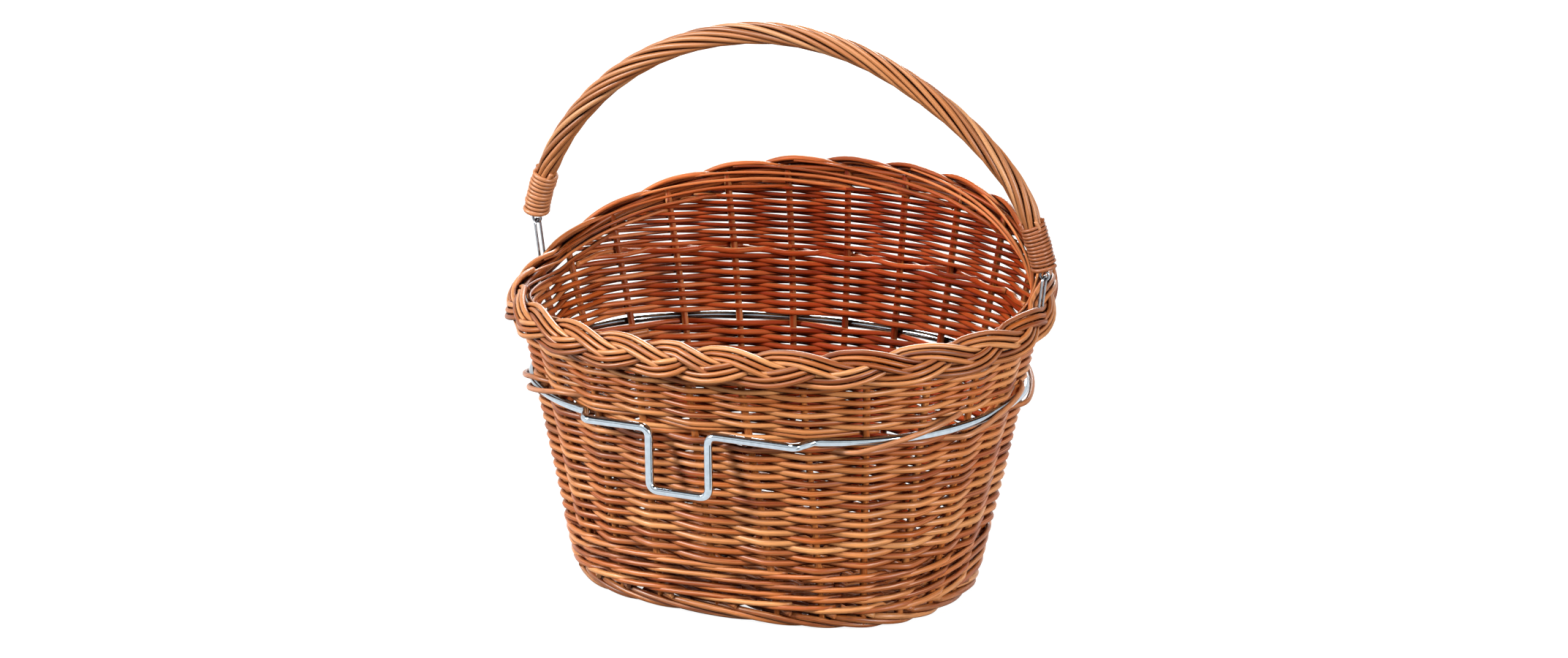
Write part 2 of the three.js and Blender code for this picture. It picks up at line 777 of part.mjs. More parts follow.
// Eye: a wire ring below the handle's end on a shank that sits in the end grain
function eyeSolid(sign, radius, shankTop) {
  const ring = new THREE.TorusGeometry(eyeRadius, radius, 8, 20);
  ring.rotateX(Math.PI / 2);
  ring.translate(sign * handleHalfSpan, 0, eyeRadius);
  const shank = new THREE.CylinderGeometry(radius, radius, shankTop - 2 * eyeRadius, 8);
  shank.rotateX(Math.PI / 2);
  shank.translate(sign * handleHalfSpan, 0, (shankTop + 2 * eyeRadius) / 2);
  return toSolid(ring).add(toSolid(shank));
}

const shankTop = eyeDrop + eyeShankLength;
const shankHoles = [-1, 1].map((sign) => {
  const hole = new THREE.CylinderGeometry(eyeWireRadius + touchGap, eyeWireRadius + touchGap, shankTop, 8);
  hole.rotateX(Math.PI / 2);
  hole.translate(sign * handleHalfSpan, 0, shankTop / 2 + touchGap);
  return hole;
});
addPiece("handle_bow", cutBy(bow, shankHoles), handleWillow, handleAssembly);

for (const sign of [-1, 1]) {
  const side = sign < 0 ? "left" : "right";
  const path = windingPath(sign);
  const gap = leastGapToItself(path, windingRodRadius, Math.round(windingStepsPerTurn / 2));
  console.log(`handle_whipping_${side}: least gap between its turns ${gap.toFixed(2)} mm`);
  const winding = rod(path, windingRodRadius, windingSides);
  addPiece(`handle_whipping_${side}`, winding, handleWillow, handleAssembly);
  const eye = toGeometry(eyeSolid(sign, eyeWireRadius, shankTop));
  addPiece(`handle_eye_${side}`, eye, linkSteel, handleAssembly);
}

// Long oval link, hooked round the rod in the border and through the eye
const linkAboveRod = Math.hypot(handleSpread, linkTop - linkRodZ);
const linkBelowRod = linkRodRadius + linkWireRadius + touchGap;
for (const sign of [-1, 1]) {
  const path = [];
  const bendSteps = 6;
  for (let i = 0; i <= bendSteps; i++) {
    const angle = (i / bendSteps) * Math.PI;
    path.push([Math.cos(angle), Math.sin(angle), linkAboveRod - linkHalfWidth]);
  }
  for (let i = 0; i <= bendSteps; i++) {
    const angle = Math.PI + (i / bendSteps) * Math.PI;
    path.push([Math.cos(angle), Math.sin(angle), linkHalfWidth - linkBelowRod]);
  }
  const points = path.map(([along, up, height]) => {
    return new THREE.Vector3(0, along * linkHalfWidth, height + up * linkHalfWidth);
  });
  const side = sign < 0 ? "left" : "right";
  const link = rod(points, linkWireRadius, 6, true);
  link.rotateY(sign * linkLean);
  link.translate(sign * linkHalfSpan, 0, linkRodZ);
  addPiece(`handle_link_${side}`, link, linkSteel);
}

// The origin is the middle of the footprint of the whole basket
group.updateMatrixWorld(true);
const box = new THREE.Box3().setFromObject(group, true);
group.position.set(-(box.min.x + box.max.x) / 2, -(box.min.y + box.max.y) / 2, 0);

export default group;
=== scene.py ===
import bisect
import itertools
import math
import random

import bmesh
import bpy
from mathutils import Matrix, Vector, noise


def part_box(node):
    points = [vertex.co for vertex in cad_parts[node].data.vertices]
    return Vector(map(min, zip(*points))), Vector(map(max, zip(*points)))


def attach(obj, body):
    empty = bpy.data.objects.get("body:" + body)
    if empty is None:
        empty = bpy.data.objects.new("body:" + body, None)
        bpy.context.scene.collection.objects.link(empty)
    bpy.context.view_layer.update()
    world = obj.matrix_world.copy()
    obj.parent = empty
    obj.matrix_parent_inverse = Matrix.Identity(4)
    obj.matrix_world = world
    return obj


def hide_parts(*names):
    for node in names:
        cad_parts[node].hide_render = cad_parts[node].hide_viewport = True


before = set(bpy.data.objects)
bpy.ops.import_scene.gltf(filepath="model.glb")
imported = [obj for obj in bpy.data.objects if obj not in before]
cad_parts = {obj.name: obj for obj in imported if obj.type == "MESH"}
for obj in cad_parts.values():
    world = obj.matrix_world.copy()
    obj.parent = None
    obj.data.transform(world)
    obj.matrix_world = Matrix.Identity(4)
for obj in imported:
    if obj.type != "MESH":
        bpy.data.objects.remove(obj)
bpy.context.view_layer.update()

# Camera: stands where the photograph was taken, a little right of the rear side and above it.
# It leans by half a degree, as the photograph does.
view_turn = math.radians(24.41)
view_rise = math.radians(17.25)
view_lean = -0.01
view_middle = Vector((0.00027, 0.0222, 0.17899))
view_distance = 2.5274


def add_object(name, data):
    """A new object in the scene, at its origin."""
    added = bpy.data.objects.new(name, data)
    bpy.context.scene.collection.objects.link(added)
    return added


towards_camera = Vector(
    (
        math.sin(view_turn) * math.cos(view_rise),
        -math.cos(view_turn) * math.cos(view_rise),
        math.sin(view_rise),
    )
)
camera = add_object("camera", bpy.data.cameras.new("camera"))
camera.data.sensor_width = 36
camera.data.lens = 80.66
camera.location = view_middle + towards_camera * view_distance
level_camera = (-towards_camera).to_track_quat("-Z", "Y").to_matrix()
camera.rotation_euler = (level_camera @ Matrix.Rotation(view_lean, 3, "Z")).to_euler()
bpy.context.scene.camera = camera

# Studio: a white surround, a pale floor that keeps the shadow, three soft lamps in front and one behind.
# The surround looks white to the eye and in the chrome, and lights the basket with a fifteenth of that.
bpy.context.scene.view_settings.view_transform = "Standard"
surround_light_level = 0.065
floor_glow_level = 0.93
lamp_target = Vector((0, 0.02, 0.16))


def set_inputs(tree, node, inputs):
    """Links each input that is given a socket, and sets each one that is given a value."""
    for name, value in inputs.items():
        if isinstance(value, bpy.types.NodeSocket):
            tree.links.new(value, node.inputs[name])
        else:
            node.inputs[name].default_value = value


def add_node(tree, kind, inputs=None, **settings):
    node = tree.nodes.new(kind)
    for name, value in settings.items():
        setattr(node, name, value)
    set_inputs(tree, node, inputs or {})
    return node


def calculate(tree, operation, a, b=0.0):
    return add_node(tree, "ShaderNodeMath", {0: a, 1: b}, operation=operation).outputs[0]


def map_range(tree, value, old=(0.0, 1.0), new=(0.0, 1.0)):
    """Stretches a value's range old to the range new, and keeps it inside."""
    ends = {"From Min": old[0], "From Max": old[1], "To Min": new[0], "To Max": new[1]}
    return add_node(tree, "ShaderNodeMapRange", {"Value": value, **ends}).outputs["Result"]


def seen_directly(tree):
    """1 for what the camera sees, also through a mirror, and 0 for light that falls on things."""
    path = add_node(tree, "ShaderNodeLightPath")
    seen = path.outputs["Is Camera Ray"]
    for ray in ("Is Glossy Ray", "Is Transmission Ray"):
        seen = calculate(tree, "MAXIMUM", seen, path.outputs[ray])
    return seen


def new_material(name):
    """A new material, its node tree and its shader."""
    material = bpy.data.materials.new(name)
    material.use_nodes = True
    return material, material.node_tree, material.node_tree.nodes["Principled BSDF"]


def finished_mesh(name, shape):
    mesh = bpy.data.meshes.new(name)
    shape.to_mesh(mesh)
    shape.free()
    return mesh


def soft_lamp(name, place, size, power):
    lamp = add_object(name, bpy.data.lights.new(name, "AREA"))
    lamp.data.size = size
    lamp.data.energy = power
    lamp.location = place
    lamp.rotation_euler = (lamp_target - lamp.location).to_track_quat("-Z", "Y").to_euler()


world = bpy.data.worlds.new("white_surround")
world.use_nodes = True
bpy.context.scene.world = world
surround = world.node_tree
surround.nodes.clear()
surround_level = map_range(surround, seen_directly(surround), new=(surround_light_level, 1.0))
surround_light = add_node(surround, "ShaderNodeBackground", {"Color": (1, 1, 1, 1), "Strength": surround_level})
add_node(surround, "ShaderNodeOutputWorld", {"Surface": surround_light.outputs[0]})

floor_shape = bmesh.new()
bmesh.ops.create_grid(floor_shape, x_segments=1, y_segments=1, size=9)
floor = add_object("floor", finished_mesh("floor", floor_shape))
floor_paint, floor_tree, floor_shader = new_material("floor_paint")
floor_look = {
    "Base Color": (0.14, 0.14, 0.14, 1),
    "Roughness": 0.9,
    "Specular IOR Level": 0.1,
    "Emission Color": (1, 1, 1, 1),
    "Emission Strength": map_range(floor_tree, seen_directly(floor_tree), new=(0.0, floor_glow_level)),
}
set_inputs(floor_tree, floor_shader, floor_look)
floor.data.materials.append(floor_paint)

soft_lamp("lamp_above", (-0.3, -1.1, 2.4), size=0.6, power=46)
soft_lamp("lamp_left", (-1.9, -1.6, 1.4), size=0.6, power=96)
soft_lamp("lamp_right", (2.4, -1.1, 1.1), size=0.6, power=78)
soft_lamp("lamp_behind", (-0.7, 2.3, 1.3), size=1.0, power=70)

# Dark boards above, behind the camera and on the floor, seen only in the varnish and the chrome: painted dark
# reflections, which light and shade nothing.
# They give the wire its black edges, standing in for a studio's unlit ceiling.
board_paint, board_tree, board_shader = new_material("board_paint")
set_inputs(board_tree, board_shader, {"Base Color": (0.02, 0.02, 0.022, 1), "Roughness": 0.9})


def dark_board(name, corner, along, up):
    """A dark board from its corner and its two sides, seen only in reflections."""
    shape = bmesh.new()
    corner, along, up = Vector(corner), Vector(along), Vector(up)
    shape.faces.new([shape.verts.new(corner + a * along + b * up) for a, b in ((0, 0), (1, 0), (1, 1), (0, 1))])
    board = add_object(name, finished_mesh(name, shape))
    board.data.materials.append(board_paint)
    for ray in ("camera", "diffuse", "transmission", "volume_scatter", "shadow"):
        setattr(board, "visible_" + ray, False)


dark_board("board_above", (-4, -2.8, 3.2), (8, 0, 0), (0, 6.8, 0))
dark_board("board_at_horizon", (-4.2, -4.3, 0.7), (8.4, 0, 0), (0, 0, 0.6))
dark_board("board_on_floor", (0.22, -0.3, 0.004), (1.2, -0.6, 0), (0.07, 0.16, 0))

# Stakes: 24 upright willow rods, pushed into the foot and bent down into the border at the top.
# They set the wall's shape: narrow and square at the foot, wide and round at the rim.
MM = 0.001
RNG = random.Random(41)
middle_y = (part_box("handle_link_left")[0][1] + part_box("handle_link_left")[1][1]) / 2 / MM
front_spacings = 11
rear_spacings = 13
spacings = front_spacings + rear_spacings
angles_per_spacing = 100
foot_rear_depth = 113.7
foot_front_depth = 81.1
front_squareness = 2.07
wire_height = 150
rear_rim_height = 205
front_rim_rise = 61.4
stake_radius = 2.6
stake_foot = 3.3
stake_above_rim = 4


def signed_power(value, power):
    return math.copysign(abs(value) ** power, value)


def plan_point(angle, half_width, rear_depth, front_depth, rear_squareness):
    """Point of a rounded plan that is squarer at the rear than at the front."""
    at_rear = math.sin(angle) < 0
    power = 2 / (rear_squareness if at_rear else front_squareness)
    depth = rear_depth if at_rear else front_depth
    x = half_width * signed_power(math.cos(angle), power)
    y = depth * signed_power(math.sin(angle), power)
    return Vector((x, y))


def middle_plan(angle, height):
    """Middle of the wall: straight from the foot through the wire's height, and bowed at the front."""
    foot = plan_point(angle, 139.5, foot_rear_depth, foot_front_depth, 3.1)
    wire = plan_point(angle, 173.5, 149.4, 111.3, 2.36)
    rise = height / wire_height
    bowed = 1.4 * rise - 0.4 * rise * rise
    y_rise = bowed if foot.y > 0 else rise
    return Vector((foot.x + (wire.x - foot.x) * rise, foot.y + (wire.y - foot.y) * y_rise))


def running_lengths(points):
    """Length of a line from its first point to each of them."""
    lengths = [0]
    for before, after in zip(points, points[1:]):
        lengths.append(lengths[-1] + (after - before).length)
    return lengths


def find_length(lengths, target):
    """Number of the step that a length ends in, and the share of that step."""
    k = min(max(1, bisect.bisect_left(lengths, target)), len(lengths) - 1)
    return k, (target - lengths[k - 1]) / (lengths[k] - lengths[k - 1])


def even_angles(first, last, count):
    """Angles at even steps of the wall's length at the wire, for a number of stake spacings."""
    fine = [first + (last - first) * i / 4000 for i in range(4001)]
    lengths = running_lengths([middle_plan(angle, wire_height) for angle in fine])
    angles = []
    for i in range(count * angles_per_spacing):
        k, share = find_length(lengths, lengths[-1] * i / (count * angles_per_spacing))
        angles.append(fine[k - 1] + (fine[k] - fine[k - 1]) * share)
    return angles


place_angles = even_angles(0, math.pi, front_spacings) + even_angles(math.pi, 2 * math.pi, rear_spacings)
place_angles.append(2 * math.pi)


def angle_at(place):
    turn = (place % spacings) * angles_per_spacing
    low = int(turn) % (spacings * angles_per_spacing)
    return place_angles[low] + (place_angles[low + 1] - place_angles[low]) * (turn - int(turn))


def wall_point(place, height, offset=0.0):
    """Point of the wall in mm: place counts stake spacings from +X through the front."""
    angle = angle_at(place)
    along = middle_plan(angle + 0.003, height) - middle_plan(angle - 0.003, height)
    outward = Vector((along.y, -along.x)).normalized()
    plan = middle_plan(angle, height) + outward * offset
    return Vector((plan.x, plan.y + middle_y, height))


def rim_height(place):
    """Height under the border: level at the rear, arched over the front, a little high at one side."""
    front = signed_power(math.sin(angle_at(place) + math.radians(4)), 0.87)
    climb = max(0, (front + 0.29) / 1.29)
    uneven = 3.4 * math.exp(-(((place % spacings) - 3.1) ** 2) / 2)
    return rear_rim_height + front_rim_rise * climb**1.9 + uneven


def make_rods(name, paths, rounder=2):
    """Round rods from (points, radii, closed) in mm, as one mesh with its cut ends in slot 1."""
    curve = bpy.data.curves.new(name, "CURVE")
    curve.dimensions = "3D"
    curve.bevel_depth = MM
    curve.bevel_resolution = rounder
    curve.use_fill_caps = True
    for points, radii, closed in paths:
        spline = curve.splines.new("POLY")
        spline.points.add(len(points) - 1)
        in_metres = [value for x, y, z in points for value in (x * MM, y * MM, z * MM, 1)]
        spline.points.foreach_set("co", in_metres)
        spline.points.foreach_set("radius", radii)
        spline.use_cyclic_u = closed
        spline.use_smooth = True
    sketch = add_object(name + "_sketch", curve)
    graph = bpy.context.evaluated_depsgraph_get()
    mesh = bpy.data.meshes.new_from_object(sketch.evaluated_get(graph))
    bpy.data.objects.remove(sketch)
    mesh.name = name
    shape = bmesh.new()
    shape.from_mesh(mesh)
    bmesh.ops.remove_doubles(shape, verts=shape.verts, dist=1e-7)
    bmesh.ops.recalc_face_normals(shape, faces=shape.faces)
    for face in shape.faces:
        is_bark = len(face.verts) == 4
        face.smooth = is_bark
        face.material_index = 0 if is_bark else 1
    shape.to_mesh(mesh)
    shape.free()
    return add_object(name, mesh)


def vector_math(tree, operation, a, b=(0, 0, 0), output="Vector"):
    return add_node(tree, "ShaderNodeVectorMath", {0: a, 1: b}, operation=operation).outputs[output]


def mix(tree, factor, a, b, blend="MIX"):
    settings = {"data_type": "RGBA", "blend_type": blend}
    return add_node(tree, "ShaderNodeMix", {0: factor, 6: a, 7: b}, **settings).outputs[2]


def grey(tree, level):
    return add_node(tree, "ShaderNodeCombineXYZ", {axis: level for axis in range(3)}).outputs[0]


def ramp(tree, value, *stops):
    """Colour ramp between two stops, each a position and a colour."""
    node = add_node(tree, "ShaderNodeValToRGB", {0: value})
    for element, (position, colour) in zip(node.color_ramp.elements, stops):
        element.position = position
        element.color = (*colour, 1)
    return node.outputs[0]


def willow_grain_group():
    """Look of a willow rod: tint by rod, streaks along it, small knots, patchy varnish, and painted shade on
    faces that turn into the basket and in the gaps between rods.
    """
    group = bpy.data.node_groups.new("willow_grain", "ShaderNodeTree")
    for name, kind, value in (
        ("Rod", "NodeSocketFloat", 0.5),
        ("Length", "NodeSocketFloat", 8.0),
        ("Dark", "NodeSocketColor", (0.2, 0.045, 0.012, 1)),
        ("Middle", "NodeSocketColor", (0.42, 0.12, 0.028, 1)),
        ("Pale", "NodeSocketColor", (0.6, 0.27, 0.11, 1)),
        # Inside and the tint after it: share and colour of the painted shade on faces that turn into the
        # basket. Open: how open a spot is, for the painted shade in the gaps.
        ("Inside", "NodeSocketFloat", 0.0),
        ("Inside Shade Tint", "NodeSocketColor", (0.58, 0.22, 0.13, 1)),
        ("Open", "NodeSocketFloat", 1.0),
    ):
        group.interface.new_socket(name, in_out="INPUT", socket_type=kind).default_value = value
    group.interface.new_socket("Color", in_out="OUTPUT", socket_type="NodeSocketColor")
    for name in ("Roughness", "Coat", "Height"):
        group.interface.new_socket(name, in_out="OUTPUT", socket_type="NodeSocketFloat")
    given = group.nodes.new("NodeGroupInput").outputs
    out = group.nodes.new("NodeGroupOutput")

    flat = add_node(group, "ShaderNodeUVMap", uv_map="UVMap")
    uv = add_node(group, "ShaderNodeSeparateXYZ", {0: flat.outputs[0]}).outputs
    around = calculate(group, "MULTIPLY", uv[0], 2 * math.pi)
    place = {
        0: calculate(group, "COSINE", around),
        1: calculate(group, "SINE", around),
        2: calculate(group, "MULTIPLY", uv[1], given["Length"]),
    }
    on_rod = add_node(group, "ShaderNodeCombineXYZ", place).outputs[0]
    seed = calculate(group, "MULTIPLY", given["Rod"], 53.0)

    def rod_noise(vector, scale, detail, roughness):
        """Noise that is different on each rod."""
        inputs = {"Vector": vector, "W": seed, "Scale": scale, "Detail": detail, "Roughness": roughness}
        return add_node(group, "ShaderNodeTexNoise", inputs, noise_dimensions="4D").outputs[0]

    streaks = rod_noise(on_rod, 2.6, 3.0, 0.6)
    blotches = rod_noise(vector_math(group, "MULTIPLY", on_rod, (0.5, 0.5, 0.9)), 1.3, 2.0, 0.5)
    knots = map_range(group, rod_noise(on_rod, 5.2, 1.0, 0.4), (0.7, 0.76))
    # Painted shade in the gaps: 1 where ambient occlusion finds other rods close, 0 where the spot is open
    gap_shade = map_range(group, given["Open"], (0.85, 0.35))

    tint = mix(group, map_range(group, given["Rod"], (0.0, 0.5)), given["Dark"], given["Middle"])
    tint = mix(group, map_range(group, given["Rod"], (0.5, 1.0)), tint, given["Pale"])
    patch = map_range(group, blotches, (0.42, 0.64))
    tint = mix(group, calculate(group, "MULTIPLY", patch, 0.5), tint, given["Pale"])
    shade = map_range(group, streaks, (0.3, 0.7), (0.5, 1.38))
    tint = mix(group, 1.0, tint, grey(group, shade), "MULTIPLY")
    tint = mix(group, calculate(group, "MULTIPLY", knots, 0.75), tint, (0.09, 0.03, 0.012, 1))
    # Painted shade inside the basket: faces that turn into it are multiplied by the inside colour
    tint = mix(group, given["Inside"], tint, mix(group, 1.0, tint, given["Inside Shade Tint"], "MULTIPLY"))
    # Painted shade in the gaps, multiplied in as a dark red-brown
    tint = mix(group, gap_shade, tint, mix(group, 1.0, tint, (0.13, 0.045, 0.03, 1), "MULTIPLY"))

    gloss = map_range(group, blotches, (0.3, 0.65), (0.45, 1.0))
    not_inside = calculate(group, "SUBTRACT", 1.0, given["Inside"])
    not_in_gap = calculate(group, "SUBTRACT", 1.0, gap_shade)
    # The coat follows the blotches and is left off inside and in the gaps: painted shade in the varnish's
    # reflection
    look = {
        "Color": tint,
        "Roughness": map_range(group, streaks, (0.3, 0.7), (0.5, 0.34)),
        "Coat": calculate(group, "MULTIPLY", gloss, calculate(group, "MULTIPLY", not_inside, not_in_gap)),
        "Height": calculate(group, "SUBTRACT", streaks, calculate(group, "MULTIPLY", knots, 0.4)),
    }
    set_inputs(group, out, look)
    return group


willow_grain = willow_grain_group()


def willow(name, colours, length, inside=0.0, inside_shade_tint=(0.58, 0.22, 0.13)):
    """Varnished willow: grain along the rod, a coat on its upper side only, and painted shade on faces
    that turn into the basket and in the gaps between rods.

    colours are the dark, the middle and the pale one, length stretches the grain along a rod, and
    inside is the share of the painted inside shade, whose colour is the last argument.
    """
    material, tree, shader = new_material(name)
    dark, middle, pale = colours
    where = add_node(tree, "ShaderNodeTexCoord").outputs
    normal = add_node(tree, "ShaderNodeSeparateXYZ", {0: where["Normal"]}).outputs
    # Ambient occlusion within 7 mm of the rods themselves, which sets the painted shade in the gaps
    shade_probe = add_node(tree, "ShaderNodeAmbientOcclusion", {"Distance": 0.007}, samples=6, only_local=True)
    given = {
        "Rod": add_node(tree, "ShaderNodeNewGeometry").outputs["Random Per Island"],
        "Length": length,
        "Dark": (*dark, 1),
        "Middle": (*middle, 1),
        "Pale": (*pale, 1),
        "Inside Shade Tint": (*inside_shade_tint, 1),
        "Open": shade_probe.outputs["AO"],
    }
    # Painted shade inside the basket: full on faces that turn towards its middle, weaker on those that turn to
    # +X
    if inside:
        outward = vector_math(tree, "SUBTRACT", where["Object"], (0, middle_y * MM, 0))
        level = vector_math(tree, "NORMALIZE", vector_math(tree, "MULTIPLY", outward, (1, 1, 0)))
        facing = vector_math(tree, "DOT_PRODUCT", level, where["Normal"], "Value")
        inward = map_range(tree, facing, (-0.05, -0.6), (0.0, inside))
        shaded = map_range(tree, normal["X"], (0.95, 0.3), (0.4, 1.0))
        given["Inside"] = calculate(tree, "MULTIPLY", inward, shaded)
    grain = add_node(tree, "ShaderNodeGroup", given, node_tree=willow_grain).outputs
    # The coat is left off faces that turn down, which would mirror the bright floor: painted shade in the
    # reflection
    upper_side = map_range(tree, normal["Z"], (-0.4, 0.2))
    bump = add_node(tree, "ShaderNodeBump", {"Height": grain["Height"], "Strength": 0.6, "Distance": 0.0004})
    look = {
        "Base Color": grain["Color"],
        "Roughness": grain["Roughness"],
        "Normal": bump.outputs[0],
        "Coat Weight": calculate(tree, "MULTIPLY", grain["Coat"], upper_side),
        "Coat Roughness": 0.38,
        "Specular IOR Level": 0.08,
    }
    set_inputs(tree, shader, look)
    return material


def cut_willow():
    """Sawn end of a rod: pale, mottled wood."""
    material, tree, shader = new_material("cut_willow")
    where = add_node(tree, "ShaderNodeTexCoord").outputs["Object"]
    mottle = add_node(tree, "ShaderNodeTexNoise", {"Vector": where, "Scale": 900.0, "Detail": 2.0})
    wood = ramp(tree, mottle.outputs[0], (0.0, (0.42, 0.2, 0.08)), (1.0, (0.78, 0.52, 0.28)))
    set_inputs(tree, shader, {"Base Color": wood, "Roughness": 0.6})
    return material


cut_end = cut_willow()


def dress(piece, material, body, slot, *nodes):
    """Gives a piece its willow and cut ends and its body, and hides the CAD nodes that it stands for; slot is
    not used.
    """
    piece.data.materials.clear()
    piece.data.materials.append(material)
    piece.data.materials.append(cut_end)
    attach(piece, body)
    if nodes:
        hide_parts(*nodes)


stake_colours = ((0.28, 0.06, 0.01), (0.42, 0.11, 0.02), (0.56, 0.22, 0.07))
# Their faces that turn into the basket get a deeper painted shade than the woven rods
stake_willow = willow("stake_willow", stake_colours, length=14, inside=1, inside_shade_tint=(0.4, 0.14, 0.08))
stake_paths = []
for i in range(spacings):
    top = rim_height(i + 0.5) + stake_above_rim
    heights = [stake_foot + (top - stake_foot) * k / 16 for k in range(17)]
    stake_paths.append(([wall_point(i + 0.5, z) for z in heights], [stake_radius] * len(heights), False))
stakes = make_rods("stakes", stake_paths)
dress(stakes, stake_willow, "basket", "stake_willow", *[f"stake_{i + 1:02d}" for i in range(spacings)])

# Base: three long sticks under seven short ones, with thin rods woven between them from side to side.
# The outermost sticks and rods end against the foot of the wall.
long_stick_spacing = 22
long_stick_z = 6.2
short_stick_spacing = 28
short_stick_z = 11.4
base_rod_radius = 2.5
base_rod_pitch = 4.4
base_height = 8
base_inset = 3.2
base_middle_y = (foot_front_depth - foot_rear_depth) / 2 + middle_y
base_edge = [wall_point(i / 8, base_height, -base_inset) for i in range(spacings * 8)]


def base_reach(position, axis):
    """Lowest and highest x (axis 1) or y (axis 0) of the base's edge along one line."""
    other = 1 - axis
    hits = []
    for here, after in zip(base_edge, base_edge[1:] + base_edge[:1]):
        if (here[axis] - position) * (after[axis] - position) < 0:
            share = (position - here[axis]) / (after[axis] - here[axis])
            hits.append(here[other] + (after[other] - here[other]) * share)
    return min(hits), max(hits)


def stick(start, end, radius):
    """A straight stick from start to end."""
    ends = [Vector(start), Vector(end)]
    return [ends[0].lerp(ends[1], k / 12) for k in range(13)], [radius] * 13, False


stick_paths = []
for offset in (-long_stick_spacing, 0, long_stick_spacing):
    y = base_middle_y + offset
    low, high = base_reach(y, 1)
    stick_paths.append(stick((low + 3, y, long_stick_z), (high - 3, y, long_stick_z), 2.4))
for x in range(-3 * short_stick_spacing, 3 * short_stick_spacing + 1, short_stick_spacing):
    low, high = base_reach(x, 0)
    stick_paths.append(stick((x, low + 3, short_stick_z), (x, high - 3, short_stick_z), 2.2))
base_sticks = make_rods("base_sticks", stick_paths)
base_stick_nodes = [f"base_stick_long_{i}" for i in (1, 2, 3)] + [f"base_stick_cross_{i}" for i in range(1, 8)]
dress(base_sticks, stake_willow, "basket", "stake_willow", *base_stick_nodes)

base_paths = []
base_low = min(p.y for p in base_edge)
base_high = max(p.y for p in base_edge)
first_row_y = base_middle_y - 5 * long_stick_spacing
for row in itertools.count():
    row_y = first_row_y + row * base_rod_pitch
    if row_y >= base_high - 3:
        break
    on_long_stick = abs(row_y - base_middle_y) < 23 and row % 5 == 0
    if row_y > base_low + 3 and not on_long_stick:
        low, high = base_reach(row_y, 1)
        steps = max(4, int((high - low - 4) / 3.5))
        points = []
        for k in range(steps + 1):
            x = low + 2 + (high - low - 4) * k / steps
            swing = math.cos(math.pi * x / short_stick_spacing) * (1 if row % 2 else -1)
            points.append(Vector((x, row_y, short_stick_z - 1.1 + swing * 3.4)))
        base_paths.append((points, [base_rod_radius] * len(points), False))
base_colours = ((0.2, 0.04, 0.007), (0.38, 0.095, 0.016), (0.54, 0.2, 0.06))
# Faces that turn towards the basket's middle get part of the painted inside shade
base_willow = willow("base_willow", base_colours, length=26, inside=0.6)
base_weave = make_rods("base_weave", base_paths)
dress(base_weave, base_willow, "basket", "woven_willow", "base_panel")

# Foot border: the thick lower ends of the rods, each laid slanting down over the next one.
# The basket stands on them, and the short butt of a rod shows above each.
border_colours = ((0.16, 0.03, 0.005), (0.32, 0.08, 0.012), (0.58, 0.25, 0.09))
# Faces that turn into the basket get most of a light painted inside shade
border_willow = willow("border_willow", border_colours, length=10, inside=0.8, inside_shade_tint=(0.95, 0.5, 0.33))
# One rod and one butt, each as place, offset from the wall's middle, and height
foot_table = [
    (-0.35, -3.0, 9.0),
    (0.0, -0.5, 9.3),
    (0.35, 2.6, 9.2),
    (0.8, 4.3, 8.2),
    (1.3, 4.5, 6.0),
    (1.8, 4.0, 4.0),
    (2.2, 2.2, 2.8),
    (2.6, -1.5, 2.7),
    (2.9, -4.0, 3.0),
]
foot_butt_table = [(0.02, -2.0, 12.2), (0.14, 1.6, 12.3), (0.3, 4.6, 11.9)]


def smooth_step(before, here, after, beyond, t):
    """Row at the share t from here to after, on a smooth curve through all four rows."""
    return tuple(
        0.5 * (2 * b + (c - a) * t + (2 * a - 5 * b + 4 * c - d) * t * t + (3 * b - a - 3 * c + d) * t**3)
        for a, b, c, d in zip(before, here, after, beyond)
    )


def smooth_table(table, steps):
    """A table's rows with steps - 1 more between each two, on one smooth curve."""
    rows = []
    for i in range(len(table) - 1):
        beyond = table[min(len(table) - 1, i + 2)]
        for k in range(steps):
            rows.append(smooth_step(table[max(0, i - 1)], table[i], table[i + 1], beyond, k / steps))
    rows.append(tuple(table[-1]))
    return rows


foot_rod_radius = 2.45
foot_butt_radius = 1.9
foot_line = smooth_table(foot_table, 3)
foot_radii = [foot_rod_radius * (1 - 0.12 * k / len(foot_line)) for k in range(len(foot_line))]
foot_paths = []
for i in range(spacings):
    start = RNG.uniform(-0.06, 0.06)
    points = []
    for along, offset, z in foot_line:
        place = i + 0.5 + start + along
        tuck = 0.6 - 3.4 * abs(math.sin(2 * angle_at(place)))
        points.append(wall_point(place, z, offset + tuck))
    foot_paths.append((points, foot_radii, False))
    tip = [wall_point(i + 0.5 + start + along, z, offset) for along, offset, z in foot_butt_table]
    foot_paths.append((tip, [foot_butt_radius] * len(tip), False))
foot_border = make_rods("foot_border_rods", foot_paths)
dress(foot_border, border_willow, "basket", "border_willow", "foot_border")

# Upset: a round of waling that locks the stakes above the foot.
# Each rod passes outside two stakes and inside the third, and its thick end shows beside a stake.
weave_colours = ((0.22, 0.035, 0.004), (0.45, 0.1, 0.012), (0.68, 0.29, 0.1))
# Faces that turn into the basket get the full painted inside shade
weave_willow = willow("weave_willow", weave_colours, length=22, inside=1)
wale_lift = 2.1
# One turn of a rod: place, side of the wall (-1 inside, 1 outside) and lift
wale_table = [
    (-0.5, 0.0, -0.6),
    (0, -1.0, -1.0),
    (0.5, 0.0, -0.9),
    (1, 1.0, -0.5),
    (1.5, 1.12, 0),
    (2, 1.0, 0.5),
    (2.5, 0.0, 0.6),
]


